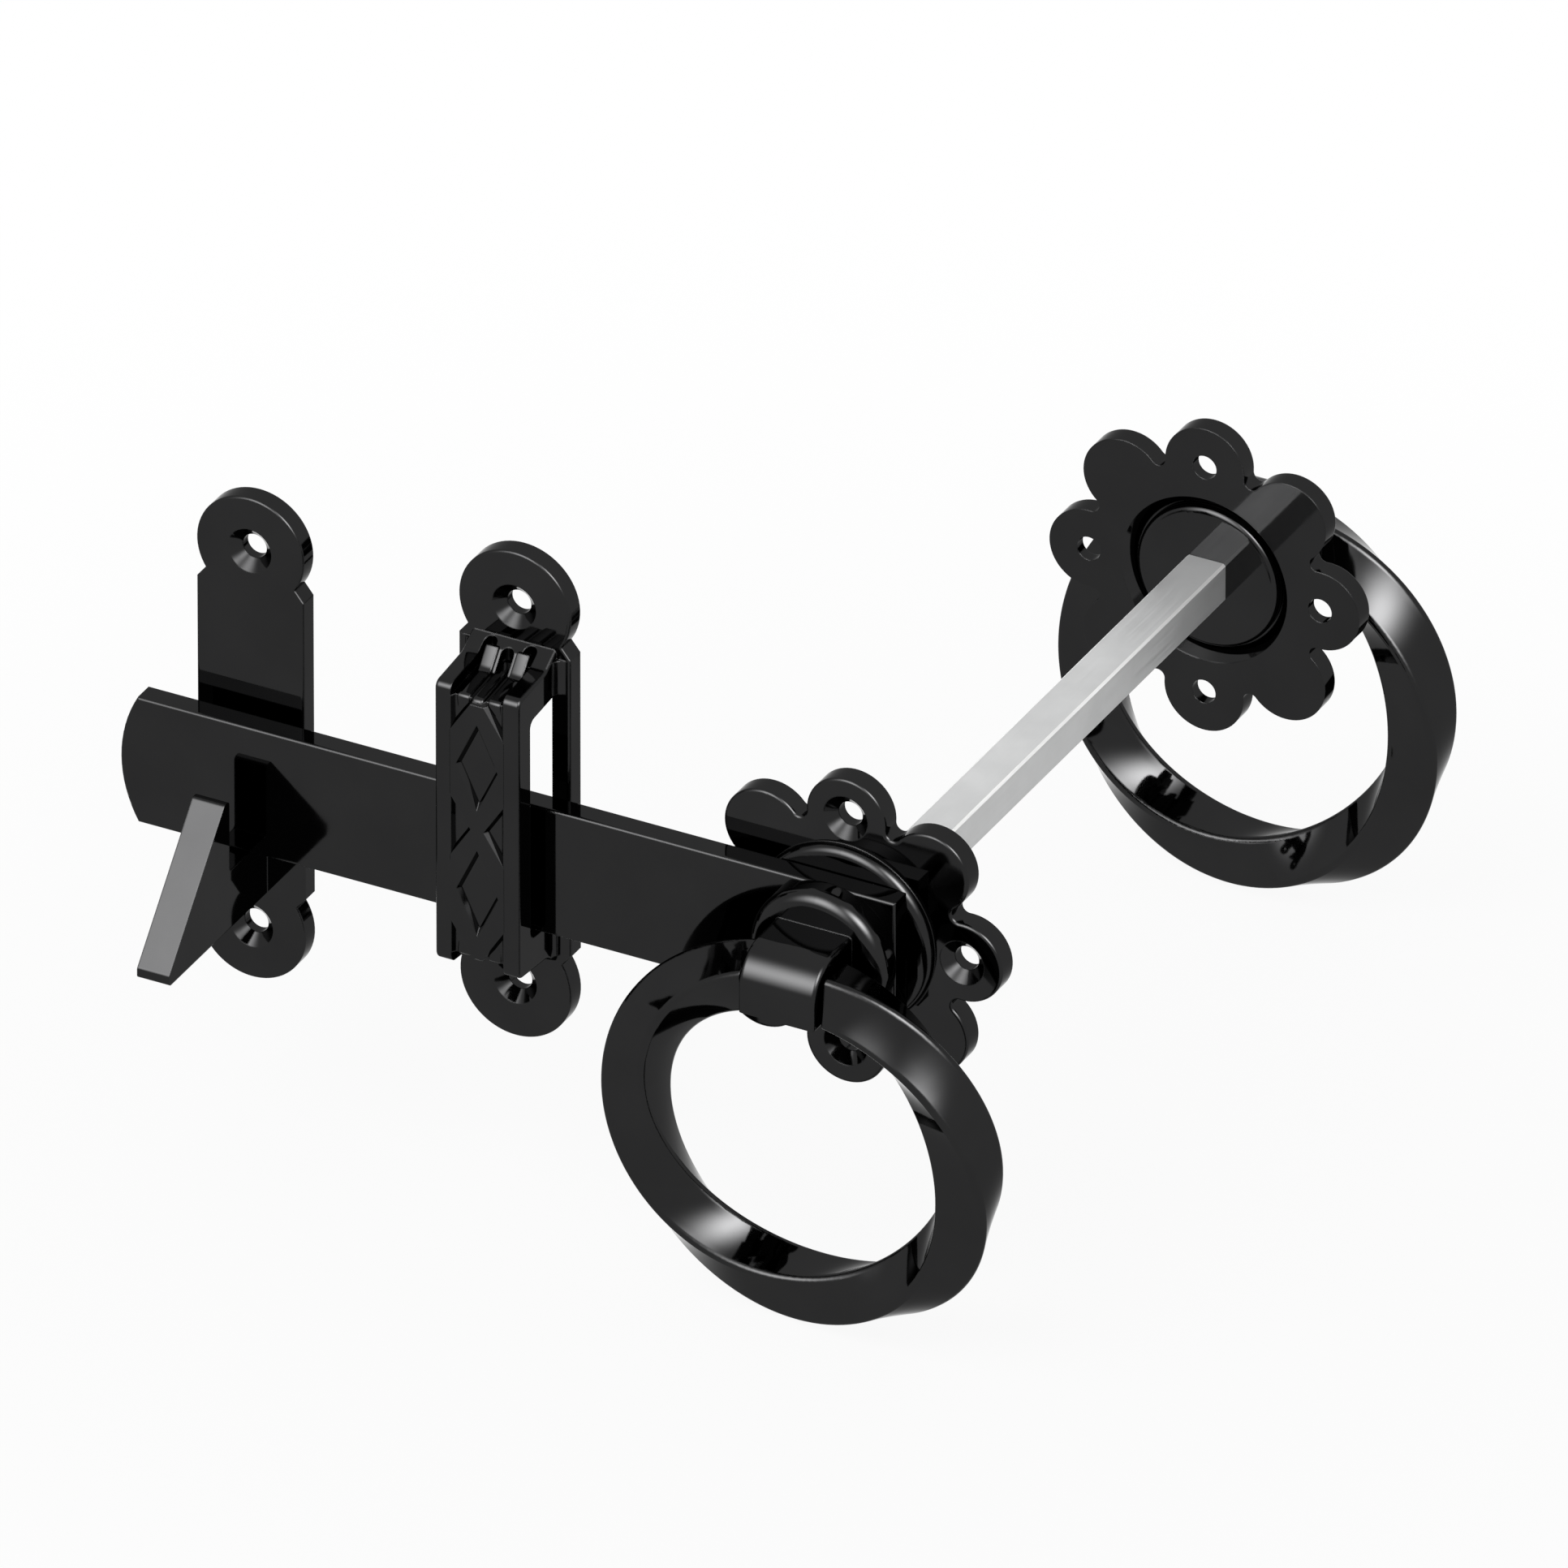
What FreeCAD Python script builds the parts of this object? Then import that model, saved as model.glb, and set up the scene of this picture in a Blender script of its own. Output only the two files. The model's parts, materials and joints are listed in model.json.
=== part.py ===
import FreeCAD, Part
import os
from math import asin, cos, degrees, pi, radians, sin, sqrt

from FreeCAD import Vector as V

os.makedirs("parts", exist_ok=True)

# Driving dimensions, in mm. Front gate face is Y = 0, outwards is -Y.
GATE = 154.4              # gate face to gate face
RUN = 0.06                # radial clearance of a turning fit
GAP = 0.3                 # plain gap between pieces that move
SPINDLE = 9.0             # square spindle across flats
SPINDLE_CHAMFER = 0.5
TENON = 14.0              # square tenon of a boss across flats
SCREW_R = 2.75            # screw hole radius
SINK_R = 5.1              # countersink radius at the outer face
TOUCH = 1e-5              # places this close count as one

ROSE_T = 5.0
PETALS = 8
PETAL_R = 9.2
PETAL_AT = 27.0           # petal centres and screws from the axis
NOTCH_R = 1.7
ROSE_EDGE = 0.7
COLLAR_R = 20.8
COLLAR_H = 2.4
COLLAR_EDGE = 2.0
HUB_R = 13.0
DISC_R = 16.6             # retaining disc of a hub
DISC_IN = 0.9             # how far the disc's face lies inside the gate face
DISC_T = 1.9
DISC_EDGE = 1.6
RECESS_R = 17.0           # floor of the sloped recess round the disc
RECESS_FLARE = 2.4

BAR_H = 30.0
BAR_T = 5.0
BAR_TIP = 165.0
BAR_END = 15.5
BAR_TIP_R = 30.0

FLANGE_R = 15.8
FLANGE_T = 6.2
FLANGE_EDGE = 3.0
LUG_W = 17.6
LUG_R = 8.4               # rounding of the nose, about the ring's pivot
LUG_LOW = 5.4             # flat underside below the pivot
LUG_EDGE = 0.9
PIVOT = 27.3              # ring pivot from the gate face

RING_R = 38.6             # mean radius of the ring
RING_SQ = 11.2
RING_CORNER = 1.3
RING_TURNS = 1.0          # twist of the square bar in one lap
RING_LEAN = 5.0           # degrees that a ring hangs towards the gate
RING_STEP = 11.0          # degrees between sections
RING_SPARE = 4.0          # degrees of ring trimmed off beside the lug
SPIGOT_R = 3.5
SPIGOT_L = 7.0
RING_GAP = 0.6            # ring end to lug side

PLATE_T = 4.5
HOLE_SPACING = 90.0       # screws of keep and staple
KEEP_X = -138.9
KEEP_Z = 7.0
KEEP_W = 25.0
STAPLE_X = -77.2
STAPLE_Z = 10.8
STAPLE_W = 26.0
NECK_IN = 2.0             # neck is this much narrower on each side
NECK_RISE = 2.5           # height over which a plate narrows to the neck
NECK_FLAT = 0.1           # straight neck below the round lug
PLATE_EDGE = 0.6

HOOK_W = 7.5
HOOK_BACK = 20.7          # back of the finger from the gate face
HOOK_TOP = 1.6
HOOK_NOSE = 47.2
HOOK_NOSE_Z = -26.6
HOOK_BASE = -29.0
HOOK_CREST = 2.0          # flat on top of the finger
HOOK_ROUND = 0.9

BRIDGE_W = 19.6
BRIDGE_OUT = 21.0         # front of the bridge from the gate face
BRIDGE_T = 5.0
BRIDGE_RISE = 1.2         # spread of the arms towards the plate
ARM_T = 7.2
BEND_R = 2.0
GUSSET = 4.2              # height of the sloped gusset at an arm's root
GUSSET_Y = 9.0            # where the gusset begins, from the gate face
GUSSET_R = 3.0
WINDOW_W = 17.6
RAIL = 3.7
RIB_W = 1.9
PANEL = 1.1               # depth of the sunk panels
PANEL_SLOPE = 0.7         # run of a panel's sloped side
RAIL_EDGE = 0.7           # rounding of the bridge's outer edges
CHANNEL = 2.7             # depth of the channel between the rails on an arm
CHANNEL_END = 10.4        # where the channel's floor turns up, from the gate face
GROOVE = 3.0
GROOVE_END = 7.8          # centre of the middle groove's round end, from the gate face
GROOVE_SIDE_END = 6.3     # the same for the grooves beside the rails
ROOT_R = 2.6              # fillet between an arm's side and the plate
ROOT_H = 8.0

COLLAR_Y = ROSE_T + COLLAR_H
BAR_Y = COLLAR_Y + GAP
FLANGE_Y = BAR_Y + BAR_T
SEAT_Y = DISC_IN + DISC_T             # a boss's tenon ends here in its hub
RECESS_D = SEAT_Y + GAP
REST_Z = -BAR_H / 2 - GAP             # the bar rests here in the staple and the keep
HOOK_FLOOR = REST_Z
BRIDGE_IN = STAPLE_Z - REST_Z         # inner half height of the bridge


def box(x0, x1, y0, y1, z0, z1):
    return Part.makeBox(x1 - x0, y1 - y0, z1 - z0, V(x0, y0, z0))


def disc(r, y0, y1, x=0.0, z=0.0):
    """Cylinder along Y between depths y0 and y1."""
    return Part.makeCylinder(r, y1 - y0, V(x, y0, z), V(0, 1, 0))


def square(side, y0, y1, chamfer=0.0):
    h = side / 2
    bar = box(-h, h, y0, y1, -h, h)
    if chamfer:
        bar = bar.makeChamfer(chamfer, [e for e in bar.Edges if is_along(e, V(0, 1, 0))])
    return bar


def is_along(edge, axis):
    d = edge.Vertexes[-1].Point - edge.Vertexes[0].Point
    return edge.Curve.TypeId == "Part::GeomLine" and d.normalize().cross(axis).Length < TOUCH


def edges_at_y(shape, y):
    """Edges that lie in the plane at depth y."""
    return [e for e in shape.Edges if max(abs(e.BoundBox.YMin - y), abs(e.BoundBox.YMax - y)) < TOUCH]


def face_xz(points):
    return Part.Face(Part.makePolygon([V(x, 0, z) for x, z in points + points[:1]]))


def screw_hole(x, z, depth):
    """Countersunk hole from the outer face at -depth to the gate face."""
    sink = SINK_R - SCREW_R
    cone = Part.makeCone(SINK_R, SCREW_R, sink, V(x, -depth, z), V(0, 1, 0))
    return cone.fuse(disc(SCREW_R, -depth, 0.0, x, z))


def polar(r, angle):
    return V(r * cos(angle), 0, r * sin(angle))


def rose_outline():
    """Petal arcs joined by tangent notch arcs."""
    half = pi / PETALS
    along, across = PETAL_AT * cos(half), PETAL_AT * sin(half)
    notch = along + sqrt((PETAL_R + NOTCH_R) ** 2 - across ** 2)
    share = PETAL_R / (PETAL_R + NOTCH_R)
    edges = []
    for k in range(PETALS):
        a = 2 * half * k
        petal, before, after = polar(PETAL_AT, a), polar(notch, a - half), polar(notch, a + half)
        start = petal + (before - petal) * share
        end = petal + (after - petal) * share
        ahead = polar(PETAL_AT, a + 2 * half)
        next_start = ahead + (after - ahead) * share
        edges.append(Part.Arc(start, polar(PETAL_AT + PETAL_R, a), end).toShape())
        edges.append(Part.Arc(end, polar(notch - NOTCH_R, a + half), next_start).toShape())
    return Part.Face(Part.Wire(edges))


def rose():
    plate = rose_outline().extrude(V(0, -ROSE_T, 0))
    plate = plate.makeFillet(ROSE_EDGE, edges_at_y(plate, -ROSE_T))
    collar = disc(COLLAR_R, -COLLAR_Y, -ROSE_T / 2)
    collar = collar.makeFillet(COLLAR_EDGE, edges_at_y(collar, -COLLAR_Y))
    body = plate.fuse(collar)
    recess = Part.makeCone(RECESS_R, RECESS_R + RECESS_FLARE, RECESS_D, V(0, -RECESS_D, 0), V(0, 1, 0))
    body = body.cut(disc(HUB_R + RUN, -COLLAR_Y, 0.0)).cut(recess)
    for k in range(4):
        p = polar(PETAL_AT, k * pi / 2)
        body = body.cut(screw_hole(p.x, p.z, ROSE_T))
    return body.removeSplitter()


def hub():
    """Sleeve that turns in the rose, with its retaining disc and square seats."""
    sleeve = disc(HUB_R, -BAR_Y, -SEAT_Y)
    plate = disc(DISC_R, -SEAT_Y, -DISC_IN)
    plate = plate.makeFillet(DISC_EDGE, edges_at_y(plate, -DISC_IN))
    body = sleeve.fuse(plate)
    body = body.cut(square(TENON, -BAR_Y, -SEAT_Y))
    return body.cut(square(SPINDLE, -SEAT_Y, -DISC_IN, SPINDLE_CHAMFER)).removeSplitter()


def lug():
    """Block with a rounded nose and a flat underside, bored for the ring's spigots."""
    front, low, back = -PIVOT - LUG_R, -LUG_LOW, -FLANGE_Y - FLANGE_T / 2
    side = -LUG_W / 2
    corner = LUG_R / sqrt(2)
    points = [(-PIVOT, LUG_R), (front, 0.0), (front, low), (back, low), (back, LUG_R), (-PIVOT, LUG_R)]
    places = [V(side, y, z) for y, z in points]
    edges = [Part.Arc(places[0], V(side, -PIVOT - corner, corner), places[1]).toShape()]
    edges += [Part.makeLine(p, q) for p, q in zip(places[1:], places[2:])]
    body = Part.Face(Part.Wire(edges)).extrude(V(LUG_W, 0, 0))
    ends = [e for e in body.Edges if e.BoundBox.XLength < TOUCH and e.BoundBox.YMax < TOUCH - PIVOT]
    body = body.makeFillet(LUG_EDGE, ends)
    bore = Part.makeCylinder(SPIGOT_R + RUN, LUG_W, V(side, -PIVOT, 0), V(1, 0, 0))
    return body.cut(bore)


def boss(shoulder):
    flange = disc(FLANGE_R, -FLANGE_Y - FLANGE_T, -FLANGE_Y)
    flange = flange.makeFillet(FLANGE_EDGE, edges_at_y(flange, -FLANGE_Y - FLANGE_T))
    body = flange.fuse(lug())
    body = body.fuse(square(TENON, -FLANGE_Y, -SEAT_Y))
    if shoulder:
        body = body.fuse(disc(FLANGE_R - FLANGE_EDGE, -FLANGE_Y, -BAR_Y))
    body = body.cut(square(SPINDLE, -FLANGE_Y, -SEAT_Y, SPINDLE_CHAMFER))
    return body.removeSplitter()


def ring_section(angle):
    """Rounded square, turned by the twist, in the radial plane at this angle from the top."""
    turn = -RING_TURNS * angle
    radial, axial = V(sin(angle), 0, cos(angle)), V(0, -1, 0)
    p = radial * cos(turn) + axial * sin(turn)
    q = axial * cos(turn) - radial * sin(turn)
    centre = V(0, -PIVOT, -RING_R) + radial * RING_R
    h, c = RING_SQ / 2, RING_CORNER
    edges = []
    for k in range(4):
        a, b = p, q
        flat_0, flat_1 = centre + a * h - b * (h - c), centre + a * h + b * (h - c)
        mid = centre + (a + b) * (h - c) + (a + b) * (c / sqrt(2))
        end = centre + a * (h - c) + b * h
        edges += [Part.makeLine(flat_0, flat_1), Part.Arc(flat_1, mid, end).toShape()]
        p, q = b, a * -1
    return Part.Wire(edges)


def ring():
    half = LUG_W / 2 + RING_GAP
    first = degrees(asin(half / RING_R)) - RING_SPARE
    count = round((360.0 - 2 * first) / RING_STEP)
    angles = [radians(first + (360.0 - 2 * first) * k / count) for k in range(count + 1)]
    bar = Part.makeLoft([ring_section(a) for a in angles], True, False)
    bar = bar.cut(box(-half, half, -PIVOT - RING_SQ, -PIVOT + RING_SQ, -RING_R / 2, RING_SQ))
    for side in (1, -1):
        bar = bar.fuse(Part.makeCylinder(SPIGOT_R, SPIGOT_L + RING_SQ / 4,
                                         V(side * (half + RING_SQ / 4), -PIVOT, 0), V(-side, 0, 0)))
    bar.rotate(V(0, -PIVOT, 0), V(1, 0, 0), RING_LEAN)
    return bar


def turned(shape):
    """The same piece at the far gate face, turned about the vertical."""
    copy = shape.copy()
    copy.rotate(V(0, 0, 0), V(0, 0, 1), 180)
    copy.translate(V(0, GATE, 0))
    return copy


def latch_bar():
    h = BAR_H / 2
    blank = box(-BAR_TIP, BAR_END, -FLANGE_Y, -BAR_Y, -h, h)
    tip = disc(BAR_TIP_R, -FLANGE_Y, -BAR_Y, BAR_TIP_R - BAR_TIP)
    body = blank.common(tip.fuse(box(BAR_TIP_R - BAR_TIP, BAR_END, -FLANGE_Y, -BAR_Y, -h, h)))
    body = body.removeSplitter()
    body = body.makeFillet(PLATE_EDGE, edges_at_y(body, -FLANGE_Y))
    return body.cut(square(TENON, -FLANGE_Y, -BAR_Y))


def spindle():
    reach = FLANGE_Y - GAP
    return square(SPINDLE, -reach, GATE + reach, SPINDLE_CHAMFER)


def screwed_plate(width):
    """Straight plate with a necked round lug at each end, about its own centre."""
    h, n = width / 2, width / 2 - NECK_IN
    lug_z = HOLE_SPACING / 2
    neck = lug_z - sqrt(h ** 2 - n ** 2) - NECK_FLAT
    wide = neck - NECK_RISE
    body = face_xz([(-n, -lug_z), (n, -lug_z), (n, -neck), (h, -wide), (h, wide), (n, neck), (n, lug_z),
                    (-n, lug_z), (-n, neck), (-h, wide), (-h, -wide), (-n, -neck)])
    plate = body.extrude(V(0, -PLATE_T, 0))
    for z in (lug_z, -lug_z):
        plate = plate.fuse(disc(h, -PLATE_T, 0.0, 0.0, z))
    plate = plate.removeSplitter()
    plate = plate.makeFillet(PLATE_EDGE, edges_at_y(plate, -PLATE_T))
    for z in (lug_z, -lug_z):
        plate = plate.cut(screw_hole(0.0, z, PLATE_T))
    return plate


def prism_yz(points, width):
    face = Part.Face(Part.makePolygon([V(-width / 2, y, z) for y, z in points + points[:1]]))
    return face.extrude(V(width, 0, 0))


def corner_edges(solid, corners):
    """Edges along X whose ends sit at one of these (y, z) corners."""
    found = []
    for e in solid.Edges:
        p = e.Vertexes[0].Point
        if is_along(e, V(1, 0, 0)) and any(abs(p.y - y) + abs(p.z - z) < TOUCH for y, z in corners):
            found.append(e)
    return found


def keep():
    tip = (-HOOK_BACK, HOOK_TOP)
    crest = (-HOOK_BACK - HOOK_CREST, HOOK_TOP)
    nose_top, nose_low = (-HOOK_NOSE, HOOK_NOSE_Z), (-HOOK_NOSE, HOOK_BASE)
    floor = (-HOOK_BACK, HOOK_FLOOR)
    inside = -PLATE_T / 2
    hook = prism_yz([(inside, HOOK_FLOOR), floor, tip, crest, nose_top, nose_low, (inside, HOOK_BASE)], HOOK_W)
    hook = hook.makeFillet(HOOK_ROUND, corner_edges(hook, [tip, crest, nose_top, nose_low, floor]))
    plate = screwed_plate(KEEP_W)
    hook.translate(V(0, 0, -KEEP_Z))
    body = plate.fuse(hook).removeSplitter()
    body.translate(V(KEEP_X, 0, KEEP_Z))
    return body


def bridge_blank():
    front, back, root = -BRIDGE_OUT, BRIDGE_T - BRIDGE_OUT, -PLATE_T / 2
    inner, inner_root = BRIDGE_IN, BRIDGE_IN + BRIDGE_RISE
    outer, knee, top = inner + ARM_T, inner_root + ARM_T, inner_root + ARM_T + GUSSET
    blank = prism_yz([(front, -outer), (front, outer), (-GUSSET_Y, knee), (root, top), (root, inner_root),
                      (back, inner), (back, -inner), (root, -inner_root), (root, -top), (-GUSSET_Y, -knee)],
                     BRIDGE_W)
    bends = [(front, outer), (front, -outer), (back, inner), (back, -inner)]
    blank = blank.makeFillet(GUSSET_R, corner_edges(blank, [(-GUSSET_Y, knee), (-GUSSET_Y, -knee)]))
    blank = blank.makeFillet(BEND_R, corner_edges(blank, bends))
    rims = []
    for e in blank.Edges:
        mid = e.BoundBox.Center
        outside = abs(mid.z) > inner_root + ARM_T / 2 or mid.y < front + BEND_R
        if e.BoundBox.XLength < TOUCH and outside and mid.y < root - TOUCH:
            rims.append(e)
    return blank.makeFillet(RAIL_EDGE, rims)


def rib(start, end):
    (x0, z0), (x1, z1) = start, end
    length = sqrt((x1 - x0) ** 2 + (z1 - z0) ** 2)
    ox, oz = -(z1 - z0) / length * RIB_W / 2, (x1 - x0) / length * RIB_W / 2
    return face_xz([(x0 - ox, z0 - oz), (x1 - ox, z1 - oz), (x1 + ox, z1 + oz), (x0 + ox, z0 + oz)])


def panels():
    """Sunk panels with sloped sides between the two rails, left by the crossing ribs."""
    w = BRIDGE_W / 2 - RAIL
    edge, reach = BRIDGE_IN + ARM_T, BRIDGE_IN + ARM_T - CHANNEL
    field = face_xz([(-w, -edge), (w, -edge), (w, edge), (-w, edge)])
    for side in (w, -w):
        for z in (reach / 2, -reach / 2):
            for end in ((0, 0), (0, 2 * z)):
                field = field.cut(rib(end, (side, z)))
    pockets = []
    for face in field.Faces:
        floor = face.makeOffset2D(-PANEL_SLOPE, join=2).Wires[0]
        floor.translate(V(0, PANEL, 0))
        pocket = Part.makeLoft([face.OuterWire, floor], True, True)
        pocket.translate(V(0, -BRIDGE_OUT, 0))
        pockets.append(pocket)
    return pockets


def channels():
    """Sunk floor between the rails on both arms, ending in a slope cut by three round-ended grooves."""
    w = BRIDGE_W / 2 - RAIL
    front, knee = BRIDGE_IN + ARM_T, BRIDGE_IN + ARM_T + BRIDGE_RISE
    floor, clear = front - CHANNEL, knee + GUSSET
    slope = [(-BRIDGE_OUT - BEND_R, floor), (-CHANNEL_END, knee - CHANNEL), (-PLATE_T, clear),
             (-BRIDGE_OUT - BEND_R, clear)]
    cut = prism_yz(slope, 2 * w)
    low, side = knee - CHANNEL, w - GROOVE / 2
    for x, end in ((-side, GROOVE_SIDE_END), (0.0, GROOVE_END), (side, GROOVE_SIDE_END)):
        cut = cut.fuse(box(x - GROOVE / 2, x + GROOVE / 2, -CHANNEL_END, -end, low, clear))
        cut = cut.fuse(Part.makeCylinder(GROOVE / 2, clear - low, V(x, -end, low), V(0, 0, 1)))
    return [cut, cut.mirror(V(0, 0, 0), V(0, 0, 1))]


def root(side):
    """Hollow fillet that spreads one side of the upper arm onto the plate."""
    low = BRIDGE_IN + BRIDGE_RISE
    arm, wide, deep = side * BRIDGE_W / 2, side * (BRIDGE_W / 2 + ROOT_R), side * (BRIDGE_W / 2 - ROOT_R)
    hollow = ROOT_R - ROOT_R / sqrt(2)
    foot, rise = V(wide, -PLATE_T, low), V(arm, -PLATE_T - ROOT_R, low)
    edges = [Part.Arc(foot, V(arm + side * hollow, -PLATE_T - hollow, low), rise).toShape()]
    places = [rise, V(deep, rise.y, low), V(deep, -PLATE_T / 2, low), V(wide, -PLATE_T / 2, low), foot]
    edges += [Part.makeLine(p, q) for p, q in zip(places, places[1:])]
    return Part.Face(Part.Wire(edges)).extrude(V(0, 0, ROOT_H))


def staple():
    body = screwed_plate(STAPLE_W).fuse(bridge_blank())
    for upper in (root(1), root(-1)):
        body = body.fuse(upper).fuse(upper.mirror(V(0, 0, 0), V(0, 0, 1)))
    body = body.removeSplitter()
    w, h = WINDOW_W / 2, BRIDGE_IN
    body = body.cut(box(-w, w, -PLATE_T, 0.0, -h, h))
    for cut in panels() + channels():
        body = body.cut(cut)
    body = body.removeSplitter()
    body.translate(V(STAPLE_X, 0, STAPLE_Z))
    return body


front_boss, the_ring, the_hub, the_rose = boss(False), ring(), hub(), rose()
pieces = {
    "front_rose": the_rose, "back_rose": turned(the_rose),
    "front_hub": the_hub, "back_hub": turned(the_hub),
    "front_boss": front_boss, "back_boss": turned(boss(True)),
    "front_ring": the_ring, "back_ring": turned(the_ring),
    "latch_bar": latch_bar(), "spindle": spindle(), "staple": staple(), "keep": keep(),
}
for name, shape in pieces.items():
    shape.exportStep("parts/" + name + ".step")
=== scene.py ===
import json
import math

import bmesh
import bpy
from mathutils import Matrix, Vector


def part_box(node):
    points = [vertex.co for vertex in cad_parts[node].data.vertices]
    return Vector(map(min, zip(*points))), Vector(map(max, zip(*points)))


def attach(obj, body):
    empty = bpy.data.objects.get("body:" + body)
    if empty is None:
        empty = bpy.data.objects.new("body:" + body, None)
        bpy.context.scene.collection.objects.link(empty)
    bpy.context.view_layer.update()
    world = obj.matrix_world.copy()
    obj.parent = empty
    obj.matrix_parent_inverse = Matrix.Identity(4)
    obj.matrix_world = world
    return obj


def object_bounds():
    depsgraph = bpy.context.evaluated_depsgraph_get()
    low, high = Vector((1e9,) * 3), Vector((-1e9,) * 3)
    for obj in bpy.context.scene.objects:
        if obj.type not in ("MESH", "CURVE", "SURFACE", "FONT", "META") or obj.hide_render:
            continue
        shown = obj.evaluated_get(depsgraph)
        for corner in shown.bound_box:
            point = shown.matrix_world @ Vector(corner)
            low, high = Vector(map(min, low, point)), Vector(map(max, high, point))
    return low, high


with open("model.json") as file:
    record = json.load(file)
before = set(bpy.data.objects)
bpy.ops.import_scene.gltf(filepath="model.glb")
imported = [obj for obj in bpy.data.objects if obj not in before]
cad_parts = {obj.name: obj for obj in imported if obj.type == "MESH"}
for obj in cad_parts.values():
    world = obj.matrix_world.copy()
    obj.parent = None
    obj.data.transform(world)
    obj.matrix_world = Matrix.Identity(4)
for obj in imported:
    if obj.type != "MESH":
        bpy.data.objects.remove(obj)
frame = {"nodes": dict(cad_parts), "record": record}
cad_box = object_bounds()
staple_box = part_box("staple")
MM = 0.001

# Camera: a very long lens stands in for the photograph's parallel view
AIM = Vector((-0.01994, 0.00576, 0.02398))
TO_CAMERA = Vector((0.4004, -0.7579, 0.5150)).normalized()
FRAME_WIDTH = 0.322
CAMERA_DISTANCE = 13.0
SENSOR_WIDTH = 36.0
CLIP = (0.1, 100.0)

# Studio
FLOOR_GAP = 0.0006
FLOOR_SIZE = 12.0
FLOOR_COLOUR = 0.70
FLOOR_WHITE = 0.93            # share of plain white in what is seen of the floor by the object
FLOOR_FADE = (0.10, 0.45)     # distances over which the rest turns to plain white
WORLD_FILL = 0.42
SOFTBOX_DISTANCE = 2.0
SOFTBOX_SIZE = 3.6
SOFTBOX_FADE = (0.0, 0.45)    # heights over the object's lowest point between which the glow comes up
# name, direction it shines from, peak level, spread in metres
SOFTBOXES = [
    ("softbox_right", Vector((0.630, -0.394, 0.669)), 26.5, 0.43),
    ("softbox_front", Vector((-0.253, -0.779, 0.574)), 14.0, 0.55),
]
KEY_FROM = Vector((-0.35, -0.62, 1.0))
KEY_DISTANCE = 1.6
KEY_SIZE = 1.3
KEY_POWER = 13.5

# Materials: each noise is a scale and a detail
WHITE = (1.0, 1.0, 1.0, 1.0)
NOISE_MIDDLE = (0.3, 0.7)     # the part of a noise's range that is used
ENAMEL_DARK = (0.0230, 0.0230, 0.0233)
ENAMEL_LIGHT = (0.0256, 0.0256, 0.0259)
ENAMEL_SLANT = (0.56, 0.56, 0.56, 1.0)
ENAMEL_ROUGHNESS = (0.035, 0.075)
ENAMEL_CLOUD = (60.0, 3.0)
ENAMEL_HAZE = (140.0, 4.0)
ENAMEL_PEEL = (420.0, 1.0)
PEEL_STRENGTH = 0.03
PEEL_DEPTH = 0.00006
EDGE_SOFT = 0.0004            # paint rounds every edge by about this much
EDGE_SAMPLES = 4
ZINC_METALLIC = 0.45
ZINC_DARK = (0.60, 0.605, 0.605)
ZINC_LIGHT = (0.68, 0.685, 0.685)
# painted highlight: near-white colour laid on the spindle's chamfers in place of the bright line of
# light they catch
ZINC_CHAMFER_GLINT = (0.95, 0.95, 0.94, 1.0)
ZINC_ROUGHNESS = (0.34, 0.46)
ZINC_BLOOM = (90.0, 4.0)
ZINC_GRAIN = (2200.0, 3.0)
GRAIN_STRETCH = (1.0, 0.02, 1.0)
GRAIN_STRENGTH = 0.15
GRAIN_DEPTH = 0.00004
CHAMFER_GLINT_RANGE = (0.25, 0.45)      # product of a normal's X and Z from which the painted chamfer highlight starts and is full

# Pieces added to the staple, in millimetres: depth from its front, height from its middle
SHARP_ANGLE = math.radians(40.0)
CHANNEL_FLOOR = 30.79         # height of a channel's floor at the front
CHANNEL_RISE = 0.0952         # its rise for each millimetre of depth
STRIP_SEAT = 0.9              # depth of a rib or strap below its top
EDGE_STEPS = 4
BEND_STEPS = 7
RIB_HALF = 1.35
RIB_ROUND = 0.6
RIB_BEND = 1.3
RIB_FRONT = 0.02
RIB_START = 28.6
RIB_TOP = 31.5
RIB_RISE = 0.106
RIB_END = 14.2
STRAP_AT = 3.6
STRAP_HALF = 1.5
STRAP_ROUND = 0.35
STRAP_BEND = 1.0
STRAP_LIFT = 0.35
STRAP_START = (1.15, 27.6)
STRAP_FRONT = 0.85
STRAP_FOOT = 10.1             # depth at which a strap turns up the slope
FOOT_RADIUS = 2.6
FOOT_STEPS = 6
STRAP_SLOPE = 0.864           # slope's angle in radians
STRAP_END = 13.6
STRAP_TIP = (14.7, 36.0)      # its end sinks into the gusset here
LATTICE_PITCH = 15.0          # height of a diamond's middle above the crossing
LATTICE_DIAMOND = (4.9, 10.4)  # half width and half height of a diamond
LATTICE_NOTCH = (1.45, 7.4)   # tip and half height of the notch beside a crossing
LATTICE_SIDE = 6.3            # the ribs end this far out, in the rails
LATTICE_PROUD = 0.05
LATTICE_DEEP = 1.25
LATTICE_DRAFT = 0.8           # the sides spread by this much from front to back


def node(tree, kind, **values):
    made = tree.nodes.new(kind)
    for name, value in values.items():
        setattr(made, name, value)
    return made


def maths(tree, operation, *values):
    """Result of a sum on sockets and plain numbers."""
    made = node(tree, "ShaderNodeMath", operation=operation)
    for socket, value in zip(made.inputs, values):
        if isinstance(value, bpy.types.NodeSocket):
            tree.links.new(value, socket)
        else:
            socket.default_value = value
    return made.outputs[0]


def remap(tree, source, before, after, kind="LINEAR"):
    """Maps one range of values onto another and holds it at both ends."""
    made = node(tree, "ShaderNodeMapRange", interpolation_type=kind)
    made.inputs["From Min"].default_value, made.inputs["From Max"].default_value = before
    made.inputs["To Min"].default_value, made.inputs["To Max"].default_value = after
    tree.links.new(source, made.inputs["Value"])
    return made.outputs["Result"]


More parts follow.
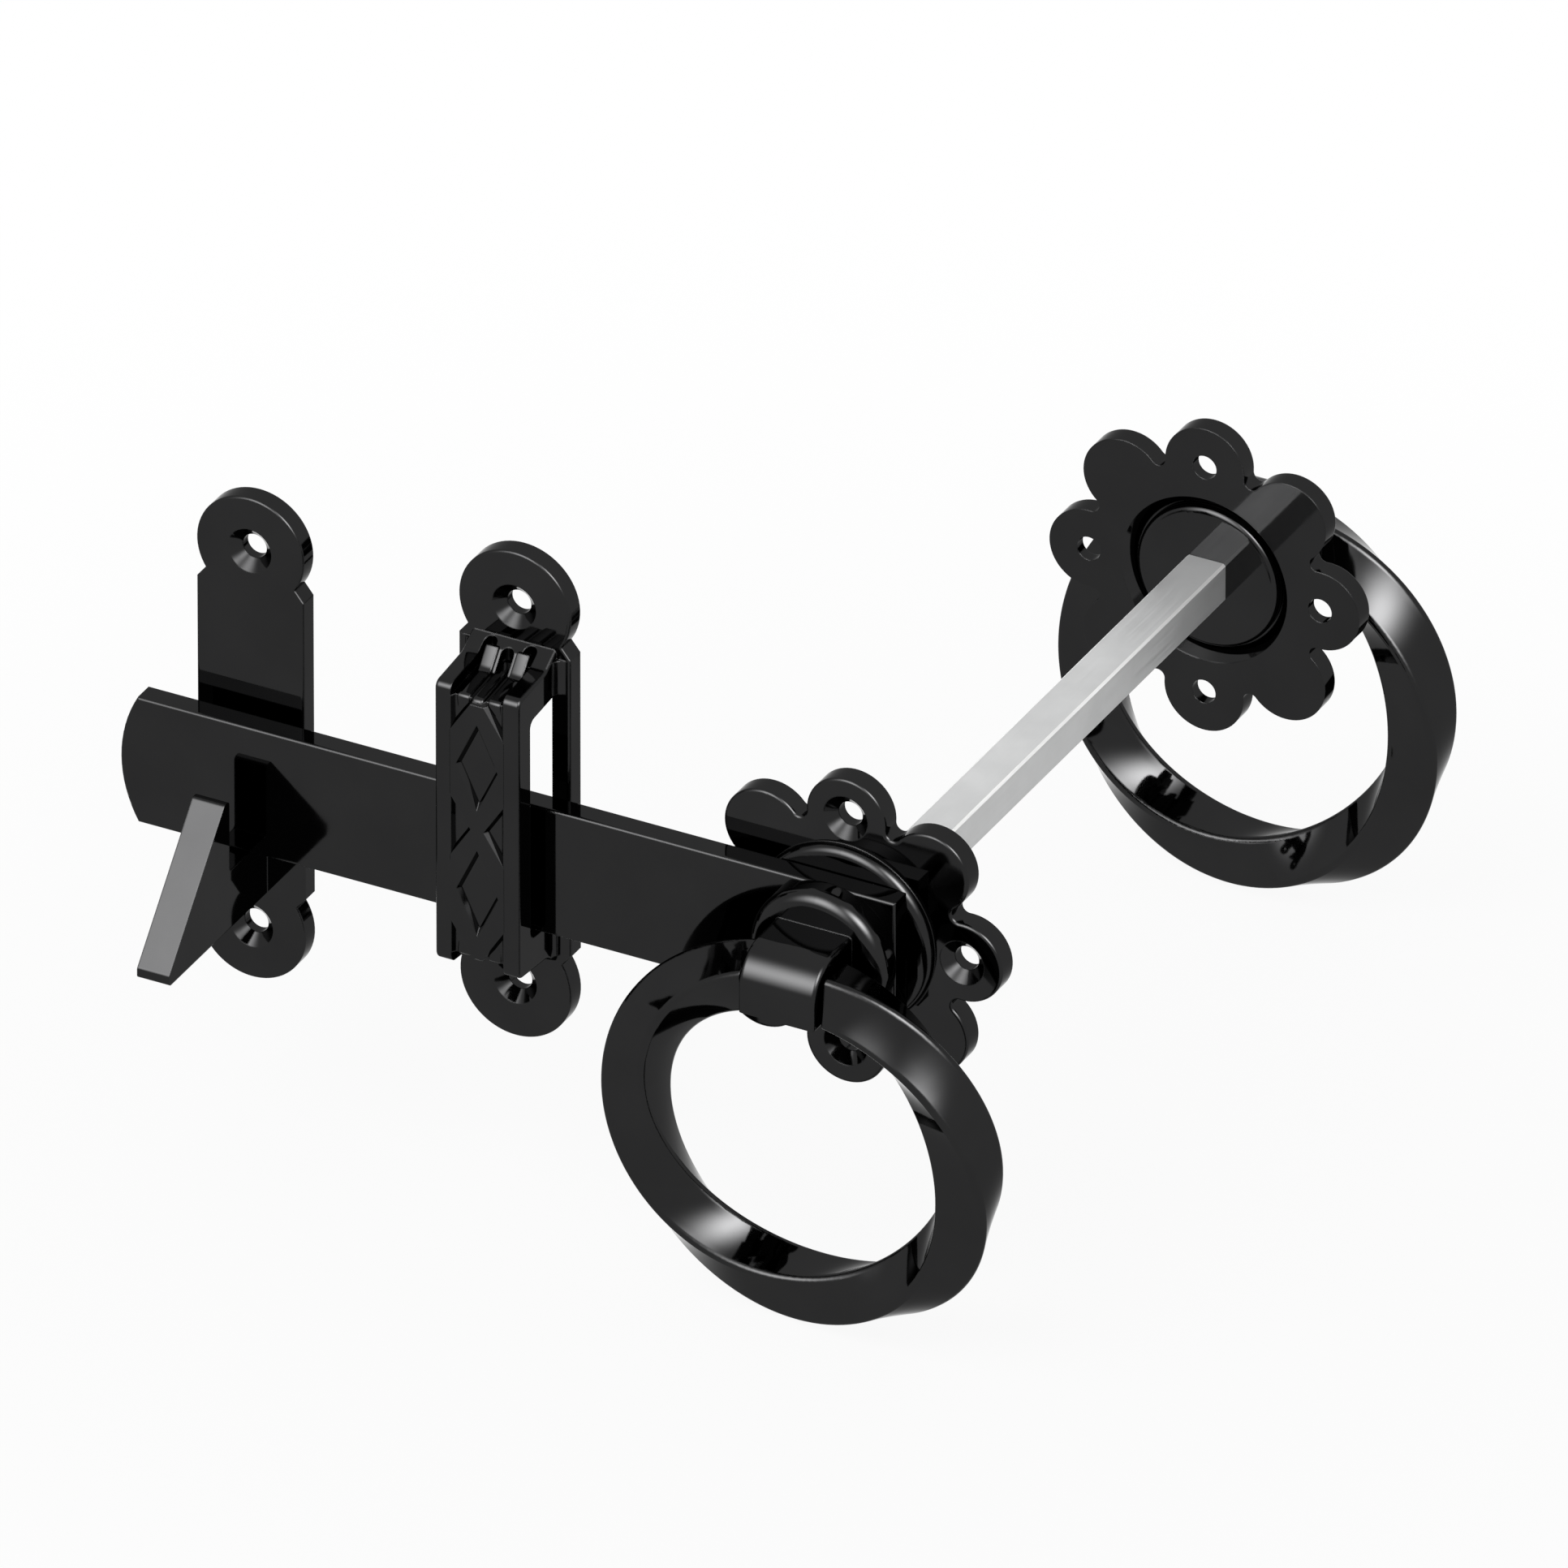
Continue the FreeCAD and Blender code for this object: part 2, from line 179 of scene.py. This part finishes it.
def noise(tree, kind, vector=None):
    """Noise over the piece's own coordinates, or over the vector given."""
    made = node(tree, "ShaderNodeTexNoise")
    made.inputs["Scale"].default_value, made.inputs["Detail"].default_value = kind
    if vector is None:
        vector = node(tree, "ShaderNodeTexCoord").outputs["Object"]
    tree.links.new(vector, made.inputs["Vector"])
    return made.outputs["Fac"]


def colour_between(tree, source, dark, light):
    made = node(tree, "ShaderNodeValToRGB")
    for stop, place, colour in zip(made.color_ramp.elements, NOISE_MIDDLE, (dark, light)):
        stop.position = place
        stop.color = (*colour, 1.0)
    tree.links.new(source, made.inputs["Fac"])
    return made.outputs["Color"]


def bump(tree, height, strength, depth):
    made = node(tree, "ShaderNodeBump")
    made.inputs["Strength"].default_value = strength
    made.inputs["Distance"].default_value = depth
    tree.links.new(height, made.inputs["Height"])
    return made


def new_material(name):
    """A material, its tree and its shader."""
    material = bpy.data.materials.new(name)
    material.use_nodes = True
    tree = material.node_tree
    return material, tree, tree.nodes["Principled BSDF"]


def swap_shader(tree, shader, made):
    """Puts another shader in place of the material's own."""
    tree.nodes.remove(shader)
    tree.links.new(made.outputs[0], tree.nodes["Material Output"].inputs["Surface"])


def black_enamel():
    """Deep gloss black: a faint orange peel under a mirror finish, as bright at a slant as head on."""
    material, tree, shader = new_material("black_enamel")
    shader.inputs["Metallic"].default_value = 1.0
    shader.inputs["Specular Tint"].default_value = ENAMEL_SLANT
    colour = colour_between(tree, noise(tree, ENAMEL_CLOUD), ENAMEL_DARK, ENAMEL_LIGHT)
    tree.links.new(colour, shader.inputs["Base Color"])
    haze = remap(tree, noise(tree, ENAMEL_HAZE), NOISE_MIDDLE, ENAMEL_ROUGHNESS)
    tree.links.new(haze, shader.inputs["Roughness"])
    peel = bump(tree, noise(tree, ENAMEL_PEEL), PEEL_STRENGTH, PEEL_DEPTH)
    soft = node(tree, "ShaderNodeBevel", samples=EDGE_SAMPLES)
    soft.inputs["Radius"].default_value = EDGE_SOFT
    tree.links.new(soft.outputs["Normal"], peel.inputs["Normal"])
    tree.links.new(peel.outputs["Normal"], shader.inputs["Normal"])
    return material


def corner_mask(tree, coords):
    """1 on the bar's narrow lengthwise bevels, whose normals lie between X and Z, and 0 on its flats; it
    places the painted highlight.
    """
    parts = node(tree, "ShaderNodeSeparateXYZ")
    tree.links.new(coords.outputs["Normal"], parts.inputs[0])
    product = maths(tree, "MULTIPLY", parts.outputs["X"], parts.outputs["Z"])
    return remap(tree, maths(tree, "ABSOLUTE", product), CHAMFER_GLINT_RANGE, (0.0, 1.0))


def zinc_steel():
    """Pale zinc plate drawn along the bar: fine lengthwise grain, a soft cloudy bloom and a near-white
    painted highlight along its lengthwise chamfers.
    """
    material, tree, shader = new_material("zinc_steel")
    shader.inputs["Metallic"].default_value = ZINC_METALLIC
    coords = node(tree, "ShaderNodeTexCoord")
    stretch = node(tree, "ShaderNodeMapping")
    stretch.inputs["Scale"].default_value = GRAIN_STRETCH
    tree.links.new(coords.outputs["Object"], stretch.inputs["Vector"])
    grain = noise(tree, ZINC_GRAIN, stretch.outputs["Vector"])
    plated = colour_between(tree, noise(tree, ZINC_BLOOM), ZINC_DARK, ZINC_LIGHT)
    # painted highlight: the chamfers are mixed towards near white as though light caught them
    chamfer_glint = node(tree, "ShaderNodeMix", data_type="RGBA")
    chamfer_glint.inputs["B"].default_value = ZINC_CHAMFER_GLINT
    tree.links.new(corner_mask(tree, coords), chamfer_glint.inputs["Factor"])
    tree.links.new(plated, chamfer_glint.inputs["A"])
    tree.links.new(chamfer_glint.outputs["Result"], shader.inputs["Base Color"])
    tree.links.new(remap(tree, grain, NOISE_MIDDLE, ZINC_ROUGHNESS), shader.inputs["Roughness"])
    drawn = bump(tree, grain, GRAIN_STRENGTH, GRAIN_DEPTH)
    tree.links.new(drawn.outputs["Normal"], shader.inputs["Normal"])
    return material


def dress(materials):
    slots = {s["node"]: s["material_slot"] for s in frame["record"]["subparts"]}
    for name, obj in frame["nodes"].items():
        obj.data.materials.clear()
        obj.data.materials.append(materials[slots[name]])


def mesh_piece(name, points, faces, material):
    """A piece of enamelled metal that rides on the gate with the staple."""
    mesh = bpy.data.meshes.new(name)
    mesh.from_pydata(points, [], faces)
    shaped = bmesh.new()
    shaped.from_mesh(mesh)
    bmesh.ops.recalc_face_normals(shaped, faces=shaped.faces)
    shaped.to_mesh(mesh)
    shaped.free()
    mesh.shade_smooth()
    mesh.set_sharp_from_angle(angle=SHARP_ANGLE)
    mesh.materials.append(material)
    obj = bpy.data.objects.new(name, mesh)
    bpy.context.scene.collection.objects.link(obj)
    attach(obj, "gate_fixed")


def skin(name, rings, material):
    """Closed skin over equal rings of points."""
    count = len(rings[0])
    points = [p for ring in rings for p in ring]
    faces = [tuple(range(count))[::-1], tuple(range(len(points) - count, len(points)))]
    for i in range(len(rings) - 1):
        for j in range(count):
            a, b = i * count + j, i * count + (j + 1) % count
            faces.append((a, b, b + count, a + count))
    mesh_piece(name, points, faces, material)


def on_staple(x, depth, height, side=1):
    """Place on the staple; side is 1 for its upper half and -1 for its lower half."""
    low, high = staple_box
    middle = (low + high) / 2
    return Vector((middle.x + x * MM, low.y + depth * MM, middle.z + side * height * MM))


def channel_height(depth):
    return CHANNEL_FLOOR + CHANNEL_RISE * depth


def turn(angle, steps):
    """Angles from nothing to the one given, in equal steps."""
    return [angle * i / steps for i in range(steps + 1)]


def bend(depth, height, radius):
    """Quarter turn from straight up to straight back, starting at the given place."""
    return [(depth + radius * (1 - math.cos(a)), height + radius * math.sin(a))
            for a in turn(math.pi / 2, BEND_STEPS)]


def rib_line():
    """Depths and heights along the rib between the channels."""
    bent = bend(RIB_FRONT, RIB_TOP - RIB_BEND, RIB_BEND)
    end = (RIB_END, RIB_TOP + RIB_RISE * (RIB_END - bent[-1][0]))
    return [(RIB_FRONT, RIB_START), *bent, end]


def strap_line():
    """Depths and heights along a strap: over the bend, along the channel and up the slope."""
    start = channel_height(STRAP_FRONT + STRAP_BEND) + STRAP_LIFT - STRAP_BEND
    line = [STRAP_START] + bend(STRAP_FRONT, start, STRAP_BEND)
    foot = STRAP_FOOT - FOOT_RADIUS * math.tan(STRAP_SLOPE / 2)
    low = channel_height(STRAP_FOOT) + STRAP_LIFT
    for a in turn(STRAP_SLOPE, FOOT_STEPS):
        line.append((foot + FOOT_RADIUS * math.sin(a), low + FOOT_RADIUS * (1 - math.cos(a))))
    depth, height = line[-1]
    line.append((STRAP_END, height + (STRAP_END - depth) * math.tan(STRAP_SLOPE)))
    line.append(STRAP_TIP)
    return line


def arm_strip(name, side, x, half, edge, line, material):
    """Strip with a rounded top along a line of places, sunk a little into the arm."""
    right = [(half - edge + edge * math.cos(a), edge * math.sin(a) - edge)
             for a in turn(math.pi / 2, EDGE_STEPS)]
    left = [(-u, v) for u, v in reversed(right)]
    section = [(half, -STRIP_SEAT), *right, *left, (-half, -STRIP_SEAT)]
    rings = []
    for i, (depth, height) in enumerate(line):
        before, after = line[max(i - 1, 0)], line[min(i + 1, len(line) - 1)]
        along = Vector((after[0] - before[0], after[1] - before[1])).normalized()
        out = Vector((-along.y, along.x))
        rings.append([on_staple(x + u, depth + out.x * v, height + out.y * v, side) for u, v in section])
    skin(name, rings, material)


def lattice_quarter(draft):
    """Outline of one arm of a crossing, from the middle of the bridge out and up to a rail."""
    wide, tall = LATTICE_DIAMOND
    reach = math.hypot(1.0, tall / wide) * draft
    corner = wide - reach * wide / tall
    point = LATTICE_PITCH - (tall - reach)
    tip, notch = LATTICE_NOTCH
    slant = notch / (LATTICE_SIDE - tip)
    reach = math.hypot(1.0, slant) * draft
    return [(0.0, 0.0), (tip + reach / slant, 0.0), (LATTICE_SIDE, notch - reach),
            (LATTICE_SIDE, LATTICE_PITCH), (corner, LATTICE_PITCH), (0.0, point)]


def lattice_place(point, across, up, turned):
    """A point of the quarter, mirrored into one of the bridge's eight arms."""
    x, height = point
    if turned:
        height = 2 * LATTICE_PITCH - height
    return round(across * x, 6), round(up * height, 6)


def bridge_lattice(material):
    """Crossing ribs on the bridge's front, one solid with sloped sides."""
    arms = [(across, up, turned) for across in (1, -1) for turned in (False, True) for up in (1, -1)]
    fronts, backs, cells = [], [], []
    for arm in arms:
        cell = []
        for front, back in zip(lattice_quarter(0.0), lattice_quarter(LATTICE_DRAFT)):
            place = lattice_place(front, *arm)
            if place not in fronts:
                fronts.append(place)
                backs.append(lattice_place(back, *arm))
            cell.append(fronts.index(place))
        cells.append(cell)
    count = len(fronts)
    points = [on_staple(x, -LATTICE_PROUD, height) for x, height in fronts]
    points += [on_staple(x, LATTICE_DEEP, height) for x, height in backs]
    faces = [tuple(cell) for cell in cells] + [tuple(i + count for i in cell) for cell in cells]
    sides = [pair for cell in cells for pair in zip(cell, cell[1:] + cell[:1])]
    for a, b in sides:
        if sides.count((a, b)) + sides.count((b, a)) == 1:
            faces.append((a, b, b + count, a + count))
    mesh_piece("staple_lattice", points, faces, material)


def dress_staple(material):
    bridge_lattice(material)
    for end, side in (("top", 1), ("foot", -1)):
        arm_strip("staple_rib_" + end, side, 0.0, RIB_HALF, RIB_ROUND, rib_line(), material)
        for name, x in (("left", -STRAP_AT), ("right", STRAP_AT)):
            strap = f"staple_strap_{end}_{name}"
            arm_strip(strap, side, x, STRAP_HALF, STRAP_ROUND, strap_line(), material)


def seen_directly(tree):
    """1 for camera, glossy and transmission rays, else 0."""
    path = node(tree, "ShaderNodeLightPath").outputs
    first = maths(tree, "MAXIMUM", path["Is Camera Ray"], path["Is Glossy Ray"])
    return maths(tree, "MAXIMUM", first, path["Is Transmission Ray"])


def make_world():
    world = bpy.data.worlds.new("studio")
    world.use_nodes = True
    tree = world.node_tree
    background = tree.nodes["Background"]
    background.inputs["Color"].default_value = WHITE
    level = remap(tree, seen_directly(tree), (0.0, 1.0), (WORLD_FILL, 1.0))
    tree.links.new(level, background.inputs["Strength"])
    bpy.context.scene.world = world


def plane(name, size):
    h = size / 2
    mesh = bpy.data.meshes.new(name)
    mesh.from_pydata([(-h, -h, 0), (h, -h, 0), (h, h, 0), (-h, h, 0)], [], [(0, 1, 2, 3)])
    obj = bpy.data.objects.new(name, mesh)
    bpy.context.scene.collection.objects.link(obj)
    return obj


def distance_from_middle(tree):
    coords = node(tree, "ShaderNodeTexCoord")
    length = node(tree, "ShaderNodeVectorMath", operation="LENGTH")
    tree.links.new(coords.outputs["Object"], length.inputs[0])
    return length.outputs["Value"]


def make_floor():
    """Pale floor that takes a faint shadow and turns to plain white away from the object."""
    floor = plane("floor", FLOOR_SIZE)
    floor.location = (AIM.x, AIM.y, cad_box[0].z - FLOOR_GAP)
    material, tree, shader = new_material("pale_floor")
    lit = node(tree, "ShaderNodeBsdfDiffuse")
    lit.inputs["Color"].default_value = (FLOOR_COLOUR, FLOOR_COLOUR, FLOOR_COLOUR, 1.0)
    white = node(tree, "ShaderNodeEmission")
    fade = remap(tree, distance_from_middle(tree), FLOOR_FADE, (FLOOR_WHITE, 1.0), "SMOOTHSTEP")
    mix = node(tree, "ShaderNodeMixShader")
    tree.links.new(maths(tree, "MULTIPLY", seen_directly(tree), fade), mix.inputs["Fac"])
    tree.links.new(lit.outputs[0], mix.inputs[1])
    tree.links.new(white.outputs[0], mix.inputs[2])
    swap_shader(tree, shader, mix)
    floor.data.materials.append(material)


def point_at(obj, place, target):
    obj.location = place
    obj.rotation_mode = "QUATERNION"
    obj.rotation_quaternion = (target - place).to_track_quat("-Z", "Y")


def softbox_level(tree, peak, reach):
    """Bell curve over the panel, faded out towards the floor."""
    share = maths(tree, "DIVIDE", distance_from_middle(tree), reach)
    power = maths(tree, "MULTIPLY", maths(tree, "POWER", share, 2.0), -0.5)
    bell = maths(tree, "MULTIPLY", maths(tree, "EXPONENT", power), peak)
    place = node(tree, "ShaderNodeNewGeometry")
    parts = node(tree, "ShaderNodeSeparateXYZ")
    tree.links.new(place.outputs["Position"], parts.inputs[0])
    heights = [cad_box[0].z + height for height in SOFTBOX_FADE]
    rise = remap(tree, parts.outputs["Z"], heights, (0.0, 1.0), "SMOOTHSTEP")
    return maths(tree, "MULTIPLY", bell, rise)


def make_softbox(name, direction, peak, reach):
    """Large soft panel whose glow fades to nothing at its edge; it shows in the gloss only."""
    box = plane(name, SOFTBOX_SIZE)
    point_at(box, AIM + direction.normalized() * SOFTBOX_DISTANCE, AIM)
    material, tree, shader = new_material(name)
    glow = node(tree, "ShaderNodeEmission")
    tree.links.new(softbox_level(tree, peak, reach), glow.inputs["Strength"])
    clear = node(tree, "ShaderNodeBsdfTransparent")
    total = node(tree, "ShaderNodeAddShader")
    tree.links.new(clear.outputs[0], total.inputs[0])
    tree.links.new(glow.outputs[0], total.inputs[1])
    swap_shader(tree, shader, total)
    box.data.materials.append(material)
    box.visible_camera = False
    box.visible_diffuse = False
    box.visible_shadow = False


def make_key():
    light = bpy.data.lights.new("key", "AREA")
    light.shape = "DISK"
    light.size = KEY_SIZE
    light.energy = KEY_POWER
    obj = bpy.data.objects.new("key", light)
    bpy.context.scene.collection.objects.link(obj)
    point_at(obj, AIM + KEY_FROM.normalized() * KEY_DISTANCE, AIM)
    obj.visible_glossy = False


def make_camera():
    data = bpy.data.cameras.new("camera")
    data.sensor_width = SENSOR_WIDTH
    data.lens = SENSOR_WIDTH * CAMERA_DISTANCE / FRAME_WIDTH
    data.clip_start, data.clip_end = CLIP
    obj = bpy.data.objects.new("camera", data)
    bpy.context.scene.collection.objects.link(obj)
    point_at(obj, AIM + TO_CAMERA * CAMERA_DISTANCE, AIM)
    bpy.context.scene.camera = obj


enamel = black_enamel()
dress({"black_enamel": enamel, "zinc_steel": zinc_steel()})
dress_staple(enamel)
make_world()
make_floor()
for softbox in SOFTBOXES:
    make_softbox(*softbox)
make_key()
make_camera()
bpy.context.scene.view_settings.view_transform = "Standard"

bpy.context.view_layer.update()
